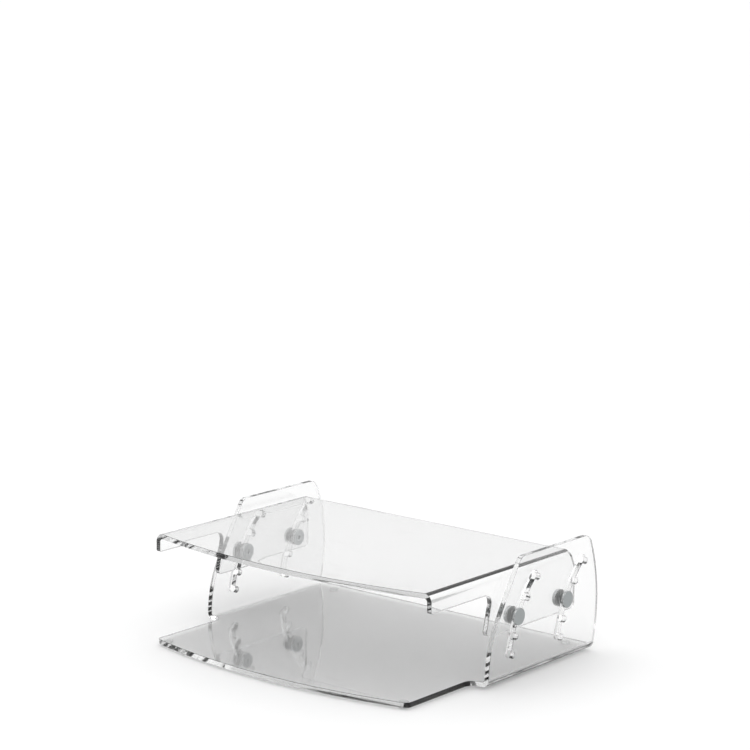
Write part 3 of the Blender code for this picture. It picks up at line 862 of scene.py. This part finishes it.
def satin_metal():
    """Turned and tumbled aluminium: faint rings on the faces, fine grain, and rims that are worn brighter."""
    material, nodes, shader = new_material("satin_metal")
    place = nodes.add("ShaderNodeTexCoord").outputs["Object"]
    parts = nodes.add("ShaderNodeSeparateXYZ", [("Vector", place)]).outputs
    across = nodes.math("MULTIPLY", parts["Y"], parts["Y"])
    radius = nodes.math("SQRT", nodes.math("MULTIPLY_ADD", parts["Z"], parts["Z"], across))
    rings = nodes.line_noise(radius, METAL_RING_SCALE, 3.0)
    grain = nodes.noise(place, METAL_GRAIN_SCALE, 3.0, 0.6)
    cloud = nodes.noise(place, METAL_CLOUD_SCALE, 3.0, 0.55)

    speckle = nodes.math("MULTIPLY", grain, METAL_GRAIN_SHARE)
    shade = nodes.math("MULTIPLY_ADD", cloud, METAL_CLOUD_SHARE, speckle)
    colour = nodes.mixed(shade, METAL_DARK, METAL_LIGHT)
    worn = nodes.smooth(radius, HEAD_RADIUS - HEAD_EDGE_RADIUS * METAL_WORN_REACH, HEAD_RADIUS)
    bright = nodes.mixed(nodes.math("MULTIPLY", worn, METAL_WORN_SHARE), colour, METAL_WORN)
    nodes.feed(shader.inputs["Base Color"], bright)
    rough = nodes.math("MULTIPLY_ADD", cloud, METAL_CLOUD_ROUGH, METAL_ROUGH)
    rough = nodes.math("MULTIPLY_ADD", worn, METAL_WORN_ROUGH, rough)
    nodes.feed(shader.inputs["Roughness"], rough)
    turned_marks = nodes.bump(rings, METAL_RING_DEPTH, METAL_MARK_STRENGTH)
    grained = nodes.bump(grain, METAL_GRAIN_DEPTH, METAL_MARK_STRENGTH, turned_marks)
    nodes.feed(shader.inputs["Normal"], grained)
    shader.inputs["Metallic"].default_value = 1.0
    return material


def clear_moulded(name, tint, clearness, rough_low, rough_high, ior):
    """Clear moulded plastic: slightly cloudy, with a fine orange-peel skin."""
    material, nodes, shader = new_material(name)
    place = nodes.add("ShaderNodeTexCoord").outputs["Object"]
    cloud = nodes.noise(place, CLOUD_SCALE, 4.0, 0.6)
    skin = nodes.noise(place, SKIN_SCALE, 2.0)
    dim = [part * CLOUD_DARKENING for part in tint]
    nodes.feed(shader.inputs["Base Color"], nodes.mixed(cloud, (*dim, 1.0), (*tint, 1.0)))
    nodes.feed(shader.inputs["Roughness"], nodes.smooth(cloud, *CLOUD_SPAN, rough_low, rough_high))
    nodes.feed(shader.inputs["Normal"], nodes.bump(skin, SKIN_DEPTH, SKIN_STRENGTH))
    shader.inputs["Transmission Weight"].default_value = clearness
    shader.inputs["IOR"].default_value = ior
    return material


def make_floor():
    """A wide pale floor with a soft, barely mottled finish."""
    material, nodes, shader = new_material("studio_floor")
    place = nodes.add("ShaderNodeTexCoord").outputs["Object"]
    mottle = nodes.noise(place, FLOOR_MOTTLE_SCALE, 4.0)
    nodes.feed(shader.inputs["Base Color"], nodes.mixed(mottle, FLOOR_DARK, FLOOR_LIGHT))
    shader.inputs["Roughness"].default_value = FLOOR_ROUGH
    shader.inputs["Specular IOR Level"].default_value = FLOOR_SHINE
    work = bmesh.new()
    bmesh.ops.create_grid(work, x_segments=8, y_segments=8, size=FLOOR_HALF)
    mesh = bpy.data.meshes.new("studio_floor")
    work.to_mesh(mesh)
    work.free()
    mesh.materials.append(material)
    ground = bpy.data.objects.new("studio_floor", mesh)
    bpy.context.scene.collection.objects.link(ground)
    ground.location = (0, 0, CAD_BOUNDS[0][2] - FLOOR_GAP)


def make_sky():
    """A studio room: bright overhead, dimmer low down, with grey flags to both sides for the clear edges."""
    world = bpy.data.worlds.new("studio")
    world.use_nodes = True
    bpy.context.scene.world = world
    nodes = Nodes(world.node_tree)
    way = nodes.add("ShaderNodeTexCoord").outputs["Generated"]
    parts = nodes.add("ShaderNodeSeparateXYZ", [("Vector", way)]).outputs
    overhead = nodes.smooth(parts["Z"], SKY_LOW, SKY_HIGH, SKY_DARK, SKY_BRIGHT)
    sideways = nodes.smooth(nodes.math("ABSOLUTE", parts["X"]), FLAG_START, FLAG_END)
    low = nodes.smooth(parts["Z"], FLAG_TOP - FLAG_SOFT, FLAG_TOP, 1.0, 0.0)
    flag = nodes.math("MULTIPLY", sideways, low)
    level = nodes.math("MULTIPLY", overhead, nodes.math("MULTIPLY_ADD", flag, FLAG_LEVEL - 1.0, 1.0))
    ground = world.node_tree.nodes["Background"]
    ground.inputs["Color"].default_value = (1.0, 1.0, 1.0, 1.0)
    nodes.feed(ground.inputs["Strength"], level)


def make_light(name, place, target, size, power):
    """A square soft light that looks at a point."""
    data = bpy.data.lights.new(name, "AREA")
    data.shape = "SQUARE"
    data.size = size
    data.energy = power
    light = bpy.data.objects.new(name, data)
    bpy.context.scene.collection.objects.link(light)
    light.location = place
    light.rotation_euler = (Vector(target) - Vector(place)).to_track_quat("-Z", "Y").to_euler()


def make_camera():
    """A long lens, a little above the shelf, in front of the right side."""
    data = bpy.data.cameras.new("camera")
    data.sensor_width = CAMERA_SENSOR
    data.lens = CAMERA_LENS
    data.clip_end = CAMERA_REACH
    reach = cos(CAMERA_PITCH)
    forward = Vector((-sin(CAMERA_YAW) * reach, cos(CAMERA_YAW) * reach, -sin(CAMERA_PITCH)))
    level = Vector((cos(CAMERA_YAW), sin(CAMERA_YAW), 0))
    upright = level.cross(forward)
    right = level * cos(CAMERA_ROLL) + upright * sin(CAMERA_ROLL)
    up = upright * cos(CAMERA_ROLL) - level * sin(CAMERA_ROLL)
    camera = bpy.data.objects.new("camera", data)
    bpy.context.scene.collection.objects.link(camera)
    turn = Matrix((right, up, -forward)).transposed().to_4x4()
    camera.matrix_world = Matrix.Translation(CAMERA_PLACE) @ turn
    bpy.context.scene.camera = camera


def main():
    make_camera()
    make_floor()
    make_sky()
    make_light("overhead_softbox", SOFTBOX_PLACE, SOFTBOX_TARGET, SOFTBOX_SIZE, SOFTBOX_POWER)
    scene = bpy.context.scene
    scene.view_settings.view_transform = "Standard"
    scene.cycles.max_bounces = LIGHT_BOUNCES
    scene.cycles.transmission_bounces = LIGHT_BOUNCES
    scene.cycles.glossy_bounces = LIGHT_BOUNCES

    acrylic = clear_acrylic()
    nylon = clear_moulded(
        "clear_nylon",
        tint=(0.96, 0.97, 0.965),
        clearness=0.15,
        rough_low=0.25,
        rough_high=0.40,
        ior=1.53,
    )
    materials = {"metal": satin_metal(), "nylon": nylon}
    soft = clear_moulded(
        "clear_polyurethane",
        tint=(0.88, 0.89, 0.89),
        clearness=0.85,
        rough_low=0.03,
        rough_high=0.09,
        ior=1.50,
    )
    make_tray(acrylic)
    make_shelf(acrylic)
    for end, place in bolt_places().items():
        for hand in ("left", "right"):
            make_bolt(end, hand, place, materials)
    for end in ("front", "rear"):
        for hand in ("left", "right"):
            make_foot(end + "_" + hand + "_foot", soft)


main()
